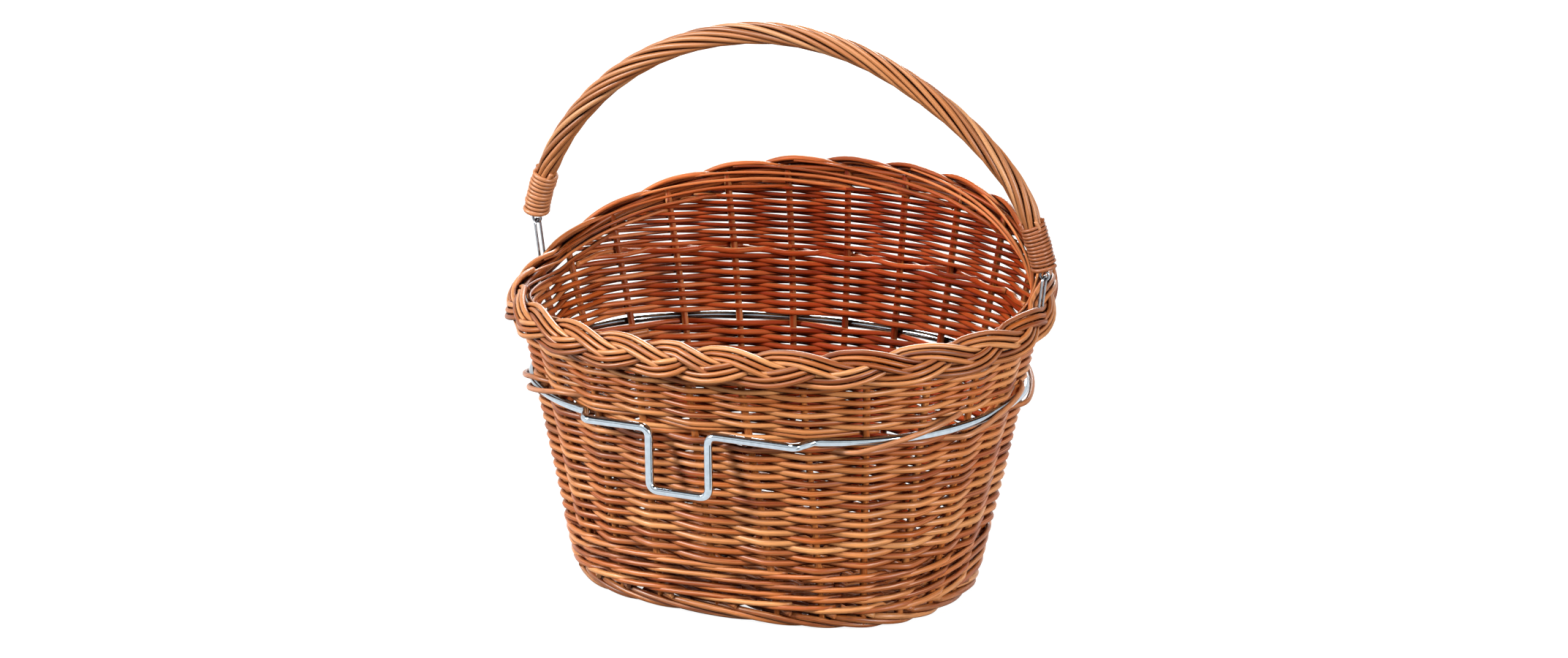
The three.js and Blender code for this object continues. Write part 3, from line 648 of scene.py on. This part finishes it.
def wale_paths(first, last, height, radius, lift, pieces):
    """Three rods that take turns round the stakes from first to last place, each in several pieces."""
    paths = []
    length = (last - first) / pieces
    steps = int(length * 8)
    for strand in range(3):
        for piece in range(pieces):
            begin = first + piece * length + strand + RNG.uniform(-0.2, 0.2)
            points = []
            radii = []
            for k in range(steps + 1):
                place = begin + length * k / steps
                if not first <= place <= last and last - first < spacings:
                    continue
                turn = (place - 0.5 - strand) % 3
                if turn > 2.5:
                    turn -= 3
                i = max(j for j in range(len(wale_table) - 1) if wale_table[j][0] <= turn)
                t = (turn - wale_table[i][0]) / (wale_table[i + 1][0] - wale_table[i][0])
                t = t * t * (3 - 2 * t)
                offset, up = (a + (b - a) * t for a, b in zip(wale_table[i][1:], wale_table[i + 1][1:]))
                points.append(wall_point(place, height + up * lift, offset * (stake_radius + radius)))
                radii.append(radius * (1.12 - 0.24 * k / steps))
            if len(points) > 8:
                paths.append((points, radii, False))
    return paths


upset = make_rods("upset_rods", wale_paths(0, spacings, height=17, radius=2.15, lift=wale_lift, pieces=4))
dress(upset, weave_willow, "basket", "woven_willow", "upset_wale")

# Side weave below the wire: single rods, in front of one stake and behind the next.
# Three more rounds of waling come first, and the rods get thinner from the foot to the wire.
lower_weave_foot = 48.2
lower_weave_last = 146.6
lower_weave_span = 98.4
lower_weave_top = 146.9
row_numbers = itertools.count()


def weave_swing(place):
    """Side of the wall that a rod is on, from -1 to 1, with nearly straight runs between the stakes."""
    return math.asin(0.985 * math.sin(math.pi * place)) / math.asin(0.985)


def woven_row(first, last, height, parity, thick, thin):
    """One rod from first to last place at a height, swinging round the stakes."""
    steps = max(3, int((last - first) * 8))
    seed = RNG.uniform(0, 900)
    points = []
    radii = []
    for k in range(steps + 1):
        place = first + (last - first) * k / steps
        share = k / steps
        radius = thick + (thin - thick) * share + 0.07 * noise.noise(Vector((place * 1.7, seed, 3)))
        swing = weave_swing(place) * (1 if parity else -1)
        drift = 1.1 * noise.noise(Vector((place * 0.35, height * 0.03, 7)))
        wobble = 0.35 * noise.noise(Vector((place * 1.1, seed, 0)))
        points.append(wall_point(place, height + drift + wobble - 0.3 * swing, swing * (1.95 + radius)))
        radii.append(radius * (0.45 if k in (0, steps) else 1))
    return points, radii, False


def full_round(height, parity, thick, thin, lengths):
    """Two rods that close one round, the first from a random stake and of one of the lengths."""
    start = 2 * RNG.randrange(spacings // 2) + (1.5 if parity else 0.5)
    cut = start + RNG.choice(lengths)
    return [
        woven_row(start - 0.1, cut + 0.25, height, parity, thick, thin),
        woven_row(cut - 0.1, start + spacings + 0.25, height, parity, thick, thin),
    ]


lower_paths = []
for height in (25.4, 33.8, 42.2):
    lower_paths += wale_paths(0, spacings, height, radius=2.1, lift=wale_lift, pieces=4)
height = lower_weave_foot
while height < lower_weave_top:
    coarse = (lower_weave_last - height) / lower_weave_span
    radii = (2.48 + 0.2 * coarse, 2.24 + 0.2 * coarse)
    lower_paths += full_round(height, next(row_numbers) % 2, *radii, (8, 10, 12, 14, 16))
    height += 3.15 + 1.0 * coarse
lower_weave = make_rods("lower_weave_rods", lower_paths)
dress(lower_weave, weave_willow, "basket", "woven_willow", "side_weave_lower")

# Wire frame: one chromed steel wire bent round the basket outside the stakes.
# At the flat rear it steps out into a straight bar with a U for the handlebar bracket.
wire_radius = 3.0
wire_offset = 6.2
wire_bend = 7
ring_steps = 180
step_half_width = 86
bar_y = middle_y - 158.7
hook_bottom = 105
# The bar and its U from the left end to the right one, as x and height
bar_line = (
    (-80, wire_height),
    (-30.5, wire_height),
    (-30.5, hook_bottom),
    (14.5, hook_bottom),
    (14.5, wire_height),
    (80, wire_height),
)


def chromed(name, tint, roughness):
    """Bright plated steel with faint polishing marks and specks, and painted shade where it lies close to the
    willow.
    """
    material, tree, shader = new_material(name)
    where = add_node(tree, "ShaderNodeTexCoord").outputs["Object"]
    marks = add_node(tree, "ShaderNodeTexNoise", {"Vector": where, "Scale": 260.0, "Detail": 4.0}).outputs[0]
    bump = add_node(tree, "ShaderNodeBump", {"Height": marks, "Strength": 0.04, "Distance": 0.0003})
    colour = ramp(tree, marks, (0.3, tuple(value * 0.85 for value in tint)), (0.7, tint))
    # Painted shade: the colour is darkened where ambient occlusion finds other surfaces within 12 mm, such as
    # the willow beside the wire
    shade_probe = add_node(tree, "ShaderNodeAmbientOcclusion", {"Distance": 0.012}, samples=6)
    shade = map_range(tree, shade_probe.outputs["AO"], (0.3, 0.72), (0.05, 1.0))
    look = {
        "Metallic": 1,
        "Base Color": mix(tree, 1.0, colour, grey(tree, shade), "MULTIPLY"),
        "Roughness": map_range(tree, marks, new=(roughness * 0.6, roughness * 1.5)),
        "Normal": bump.outputs[0],
    }
    set_inputs(tree, shader, look)
    return material


chrome = chromed("chrome_wire", (0.54, 0.62, 0.69), 0.1)
rear_middle = front_spacings + rear_spacings / 2
step_reach = 0.0
while abs(wall_point(rear_middle + step_reach, wire_height, wire_offset).x) < step_half_width:
    step_reach += 0.01
ring_first = rear_middle + step_reach - spacings
ring_last = rear_middle - step_reach
ring_places = [ring_first + (ring_last - ring_first) * i / ring_steps for i in range(ring_steps + 1)]
ring_path = [wall_point(place, wire_height, wire_offset) for place in ring_places]
wire_corners = [ring_path[-1], *[Vector((x, bar_y, z)) for x, z in bar_line], ring_path[0]]
wire_path = list(ring_path)
for before, corner, after in zip(wire_corners, wire_corners[1:], wire_corners[2:]):
    back = before - corner
    ahead = after - corner
    reach = min(wire_bend / math.tan(back.angle(ahead) / 2), back.length / 2.01, ahead.length / 2.01)
    begin = corner + back.normalized() * reach
    finish = corner + ahead.normalized() * reach
    for k in range(9):
        t = k / 8
        wire_path.append(begin.lerp(corner, t).lerp(corner.lerp(finish, t), t))
wire = make_rods("wire_frame_round", [(wire_path, [wire_radius] * len(wire_path), True)], rounder=6)
wire.data.materials.append(chrome)
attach(wire, "basket")
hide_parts("wire_frame")

# Wire lashings: willow rods that tie the wire to the stakes at both rear corners.
# Each comes from behind a stake, crosses the wire outside and goes back behind a later stake.
lash_colours = ((0.2, 0.055, 0.013), (0.33, 0.1, 0.025), (0.5, 0.2, 0.08))
lash_willow = willow("lash_willow", lash_colours, length=9)
lash_radius = 1.9
# One lashing: place, offset from the wall's middle, and height above the wire's middle
lash_table = [
    (-0.25, -6.0, -6.0),
    (0, -6.0, -6.4),
    (0.25, -3.6, -7.4),
    (0.5, 2.2, -8.0),
    (0.75, 9.6, -7.2),
    (1, 11.2, -5.2),
    (1.5, 11.6, 0.2),
    (2, 11.4, 5.4),
    (2.3, 10.0, 8.4),
    (2.55, 6.6, 9.2),
    (2.8, 0.0, 8.4),
    (3, -6.0, 6.4),
    (3.25, -6.4, 5.6),
]


def make_lashing(name, first):
    line = smooth_table(lash_table, 4)
    points = [wall_point(first + place, wire_height + up, offset) for place, offset, up in line]
    return make_rods(name, [(points, [lash_radius] * len(points), False)], rounder=4)


for side, firsts in (("left", (9.5, 11.5)), ("right", (19.5, 21.5, 23.5))):
    for i, first in enumerate(firsts):
        lashing = make_lashing(f"lashing_{side}_{i + 1}", first)
        dress(lashing, lash_willow, "basket", "handle_willow", f"wire_lashing_{side}_{i + 1}")
# A third lashing at the left, which the CAD part doesn't have
dress(make_lashing("lashing_left_3", 12.4), lash_willow, "basket", "handle_willow")

# Side weave above the wire, up to the height of the rear rim.
# Its last rows run under the border, and two short rows close the wall behind the wire's straight bar.


def under_rim(height, below_rim):
    """First and last place, round the middle of the front, where the rim stands below_rim above a height."""
    ends = []
    for step in (-0.02, 0.02):
        place = front_spacings / 2
        while rim_height(place + step) - below_rim > height:
            place += step
        ends.append(place)
    return ends


def rows_under_rim(low, high, pitch, thick, thin, below_rim):
    """Rows from low to high, each as long as the rim stands below_rim above it."""
    paths = []
    height = low
    while height < high:
        parity = next(row_numbers) % 2
        if all(rim_height(i / 20) - below_rim > height for i in range(spacings * 20)):
            paths += full_round(height, parity, thick, thin, (8, 10, 12, 14))
        else:
            first, last = under_rim(height, below_rim)
            if last - first > 3:
                cut = math.floor(RNG.uniform(first + 1.5, last - 1.5)) + 0.5
                paths.append(woven_row(first, cut + 0.25, height, parity, thick, thin))
                paths.append(woven_row(cut - 0.1, last, height, parity, thick, thin))
            elif last - first > 0.8:
                paths.append(woven_row(first, last, height, parity, thick, thin))
        height += pitch
    return paths


upper_paths = rows_under_rim(156.6, 200, pitch=3.15, thick=2.2, thin=1.98, below_rim=6.5)
upper_paths.append(woven_row(15.4, 19.75, height=150.2, parity=1, thick=1.95, thin=1.8))
upper_paths.append(woven_row(14.4, 20.75, height=153.4, parity=0, thick=1.95, thin=1.8))
upper_weave = make_rods("upper_weave_rods", upper_paths)
dress(upper_weave, weave_willow, "basket", "woven_willow", "side_weave_upper")

# Wale where the front starts to rise, and the raised front weave of thinner rods above it.
# Both end under the border on the two sides.
wale_ends = under_rim(203.7, below_rim=9)
wale = make_rods("wale_rods", wale_paths(*wale_ends, height=203.0, radius=2.05, lift=1.0, pieces=2))
dress(wale, weave_willow, "basket", "woven_willow", "wale_band")
raised_paths = rows_under_rim(207.0, 262, pitch=2.8, thick=1.68, thin=1.42, below_rim=5.5)
raised_weave = make_rods("raised_weave_rods", raised_paths)
dress(raised_weave, weave_willow, "basket", "woven_willow", "side_weave_raised")

# Plait border: the stake tops bent down along the inside of the rim and plaited over it in three strands.
# Each strand holds three rods, and cut ends stand out where a strand dives under the next.
plait_reach = 8.0
plait_depth = 2.6
plait_lane = 4.15
plait_radius = 1.98
plait_rod_length = 6.35
plait_steps = 60
lining_radius = 2.6
spacing_length = 42
border_bulge = 31.6
# One strand over its turn of three stake spacings: place, across and depth as shares of the reach
plait_table = [
    (0, -0.86, -0.75),
    (0.2, -0.94, -0.3),
    (0.45, -0.78, 0.4),
    (0.7, -0.42, 0.85),
    (0.95, 0.03, 0.7),
    (1.2, 0.42, -0.1),
    (1.45, 0.74, -0.8),
    (1.72, 0.98, -0.6),
    (2.0, 0.98, 0.5),
    (2.25, 0.78, 1),
    (2.5, 0.4, 0.3),
    (2.75, -0.2, -0.8),
]
# One stake top, bent down inside the rim: place, offset from the wall's middle, and height above the rim
stake_top_table = [
    (0.0, 0.0, -12.5),
    (0.12, -3.0, -10.0),
    (0.6, -5.3, -8.0),
    (1.2, -5.6, -4.5),
    (2.0, -5.2, -0.8),
    (2.7, -4.0, 3.0),
    (3.3, -2.2, 6.5),
    (3.8, 0.6, 8.5),
]


def plait_point(place, across, depth):
    """Point of the border: across runs from its inner top to its outer foot, depth stands off its middle."""
    turn = math.radians(24) - across / border_bulge
    reach = border_bulge + depth
    offset = -21 + reach * math.cos(turn)
    up = -12 + reach * math.sin(turn)
    rim = rim_height(place)
    past_corner = (place + 1.4) % spacings - 1
    pressed = 0.9 * math.exp(-((past_corner - 0.8) ** 2)) - 2.8 * math.exp(-3 * past_corner**2)
    base = wall_point(place, rim, offset - pressed)
    return Vector((base.x, base.y, rim + up))


def strand_at(turn):
    """Across and depth of a strand, on one smooth curve through its table."""
    turn %= 3
    count = len(plait_table)
    i = max(j for j in range(count) if plait_table[j][0] <= turn)
    near = [plait_table[(i + j) % count] for j in (-1, 0, 1, 2)]
    first = near[1][0]
    after = near[2][0] if near[2][0] > first else 3
    return smooth_step(*[row[1:] for row in near], (turn - first) / (after - first))


plait_paths = []
for strand, lane, piece in itertools.product(range(3), (-1, 0, 1), range(4)):
    first = strand + lane * 2 + piece * 6 + 0.9
    shift = lane * plait_lane
    points = []
    radii = []
    for k in range(plait_steps + 1):
        place = first + plait_rod_length * k / plait_steps
        across, depth = strand_at(place - strand)
        ahead = strand_at(place - strand + 0.02)[0]
        slope = math.atan2((ahead - across) * plait_reach, 0.02 * spacing_length)
        sink = 1.4 * max(0, 1 - min(k, plait_steps - k) / 3)
        points.append(
            plait_point(
                place - shift * math.sin(slope) / spacing_length,
                across * plait_reach + shift * math.cos(slope),
                depth * plait_depth - sink,
            )
        )
        end_share = 0.6 if k in (0, plait_steps) else 1
        radii.append(plait_radius * (1.05 - 0.12 * k / plait_steps) * end_share)
    plait_paths.append((points, radii, False))
for across in (-5.2, 0, 5.2):
    lining = [plait_point(i / 4, across, -5.4) for i in range(spacings * 4)]
    plait_paths.append((lining, [lining_radius] * len(lining), True))
for i in range(spacings):
    start = i + 0.5 + RNG.uniform(-0.12, 0.12)
    sway = RNG.uniform(-1.1, 1.1)
    thick = RNG.uniform(1.65, 2.05)
    points = []
    for along, offset, up in smooth_table(stake_top_table, 4):
        rim = rim_height(start + along)
        rise = up + sway * math.sin(along * math.pi / 3.8)
        base = wall_point(start + along, rim, offset + 0.35 * sway * math.sin(along * 2.6))
        points.append(Vector((base.x, base.y, rim + rise)))
    plait_paths.append((points, [thick * (1 - 0.02 * k) for k in range(len(points))], False))
plait = make_rods("plait_rods", plait_paths, rounder=3)
dress(plait, border_willow, "basket", "border_willow", "plait_border")

# Handle bow: nine long rods laid round a core like a rope, arched over the basket.
# It leans a little towards the rear, and hangs in its two links.
link_span = 194.0
half_span = 198.6
eye_height = 238.26
eye_drop = 8.0
arch_rise = 183
arch_foot = 32
arch_power = 2 / 1.95
arch_steps = 3000
bow_rods = 9
bow_core_radius = 3.7
bow_steps = 240
rope_pitch = 190
neck_length = 30
lean = Matrix.Rotation(math.radians(2.5), 3, "X")


def handle_place(point):
    """A point of the handle, given above the line through its eyes, in the basket's frame."""
    turned = lean @ Vector(point)
    return Vector((turned.x, turned.y + middle_y, turned.z + eye_height))


first_angle = math.asin((arch_foot / arch_rise) ** (1 / arch_power))
oval_half = half_span / math.cos(first_angle) ** arch_power
arch_points = []
for i in range(arch_steps + 1):
    angle = first_angle + (math.pi - 2 * first_angle) * i / arch_steps
    x = -oval_half * signed_power(math.cos(angle), arch_power)
    high = arch_rise * math.sin(angle) ** arch_power
    bulge = 0.011 * math.exp(-(((i / arch_steps - 0.885) / 0.06) ** 2))
    dent = 0.009 * math.exp(-(((i / arch_steps - 0.7) / 0.08) ** 2))
    uneven = bulge - dent
    arch_points.append(Vector((x * (1 + uneven), 0, eye_drop - arch_foot + high * (1 + uneven))))
arch_lengths = running_lengths(arch_points)
arch_length = arch_lengths[-1]


def arch_at(length):
    """Centre and direction of the bow at a length from its -X end."""
    k, share = find_length(arch_lengths, length)
    near = max(0, k - 12)
    far = min(arch_steps, k + 12)
    return arch_points[k - 1].lerp(arch_points[k], share), (arch_points[far] - arch_points[near]).normalized()


def around_arch(length, angle, reach):
    """Point round the bow: angle 0 is its outer side, a quarter turn later its rear side."""
    centre, direction = arch_at(length)
    rear = Vector((0, -1, 0))
    outer = rear.cross(direction).normalized()
    if outer.dot(centre - Vector((0, 0, eye_drop))) < 0:
        outer = -outer
    return handle_place(centre + outer * math.cos(angle) * reach + rear * math.sin(angle) * reach)


handle_colours = ((0.2, 0.05, 0.011), (0.4, 0.13, 0.034), (0.58, 0.29, 0.13))
handle_willow = willow("handle_willow", handle_colours, length=60)
core = [handle_place(arch_at(arch_length * i / 120)[0]) for i in range(121)]
bow_paths = [(core, [bow_core_radius] * len(core), False)]
for i in range(bow_rods):
    points = []
    radii = []
    for k in range(bow_steps + 1):
        length = arch_length * k / bow_steps
        end = min(length, arch_length - length)
        past_neck = min(1.0, max(0.0, (end - neck_length) / 12))
        reach = 4.75 + 1.2 * past_neck
        angle = 2 * math.pi * (i / bow_rods + length / rope_pitch) + 0.07 * math.sin(length / 23 + i * 2)
        points.append(around_arch(length, angle, reach + 0.12 * math.sin(length / 31 + i)))
        radii.append(1.75 + 0.2 * past_neck + 0.12 * math.sin(length / 47 + i * 1.7))
    bow_paths.append((points, radii, False))
bow = make_rods("handle_bow_rods", bow_paths, rounder=3)
dress(bow, handle_willow, "handle", "handle_willow", "handle_bow")

# Whippings: a thin willow rod wound tightly round each end of the bow, to hold the laid rods.
# Three short cut ends show above each one.
whip_colours = ((0.22, 0.05, 0.012), (0.34, 0.1, 0.026), (0.5, 0.2, 0.08))
whip_willow = willow("whip_willow", whip_colours, length=70)
whipping_start = 1.5
whipping_length = 31.3
whipping_butt_radius = 1.45
steps_per_turn = 20


def from_end(side, length):
    """Length along the bow from its -X end, given one from its end on a side."""
    return length if side == "left" else arch_length - length


for side, turns, thick, seed in (("left", 10, 1.7, 5), ("right", 12, 1.46, 11)):
    points = []
    radii = []
    for k in range(turns * steps_per_turn + 1):
        turned = 2 * math.pi * k / steps_per_turn
        lump = noise.noise(Vector((k * 0.11, seed, 0)))
        slip = noise.noise(Vector((k * 0.05, seed, 5)))
        first_turn = max(0, 1 - k / 22)
        wound = whipping_length * k / (turns * steps_per_turn)
        length = whipping_start + wound + 0.9 * math.cos(turned + 0.8) + 0.5 * slip - 0.5 * first_turn
        reach = 6.3 + thick + 0.4 * lump + 0.3 * first_turn
        points.append(around_arch(from_end(side, length), turned, reach))
        radii.append(thick * (1 + 0.22 * lump + 0.15 * first_turn))
    whipping_paths = [(points, radii, False)]
    for i, angle in enumerate((0.6, 2.3, 4.4)):
        lengths = [from_end(side, 27 + 1.6 * k + i) for k in range(6)]
        tip = [around_arch(length, angle + 0.03 * k, 7.4 + 0.1 * k) for k, length in enumerate(lengths)]
        whipping_paths.append((tip, [whipping_butt_radius] * len(tip), False))
    whipping = make_rods(f"whipping_{side}", whipping_paths, rounder=4)
    dress(whipping, whip_willow, "handle", "handle_willow", f"handle_whipping_{side}")

# Wire eyes and links: a bent steel eye in each end of the bow hangs in a long oval link.
# Each link hooks round a rod inside the border.
eye_radius = 3.2
eye_wire_radius = 1.0
link_wire_radius = 1.0
link_radius = 3.8
link_foot = 201.96
link_top = 240.56
link_length = math.hypot(half_span - link_span, link_top - link_foot)
link_lean = math.atan2(half_span - link_span, link_top - link_foot)
zinc = chromed("zinc_steel", (0.36, 0.38, 0.41), 0.22)


def wire_piece(name, paths, body, node):
    piece = make_rods(name, paths, rounder=4)
    piece.data.materials.append(zinc)
    piece.data.materials.append(zinc)
    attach(piece, body)
    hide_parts(node)


for side, sign in (("left", -1), ("right", 1)):
    eye = []
    for i in range(32):
        angle = 2 * math.pi * i / 32
        x = sign * half_span + eye_radius * math.cos(angle)
        eye.append(handle_place((x, 0, eye_radius + eye_radius * math.sin(angle))))
    shank = [handle_place((sign * half_span, 0, 6.2 + i * 2)) for i in range(9)]
    eye_paths = [(eye, [eye_wire_radius] * len(eye), True), (shank, [eye_wire_radius] * len(shank), False)]
    wire_piece(f"eye_{side}", eye_paths, "handle", f"handle_eye_{side}")
    oval = []
    for start, middle in ((0, link_length - link_radius), (math.pi, link_radius - 3.3)):
        for i in range(17):
            angle = start + math.pi * i / 16
            up = middle + link_radius * math.sin(angle)
            x = sign * (link_span + up * math.sin(link_lean))
            y = middle_y + link_radius * math.cos(angle)
            oval.append(Vector((x, y, link_foot + up * math.cos(link_lean))))
    link_paths = [(oval, [link_wire_radius] * len(oval), True)]
    wire_piece(f"link_{side}_wire", link_paths, f"link_{side}", f"handle_link_{side}")
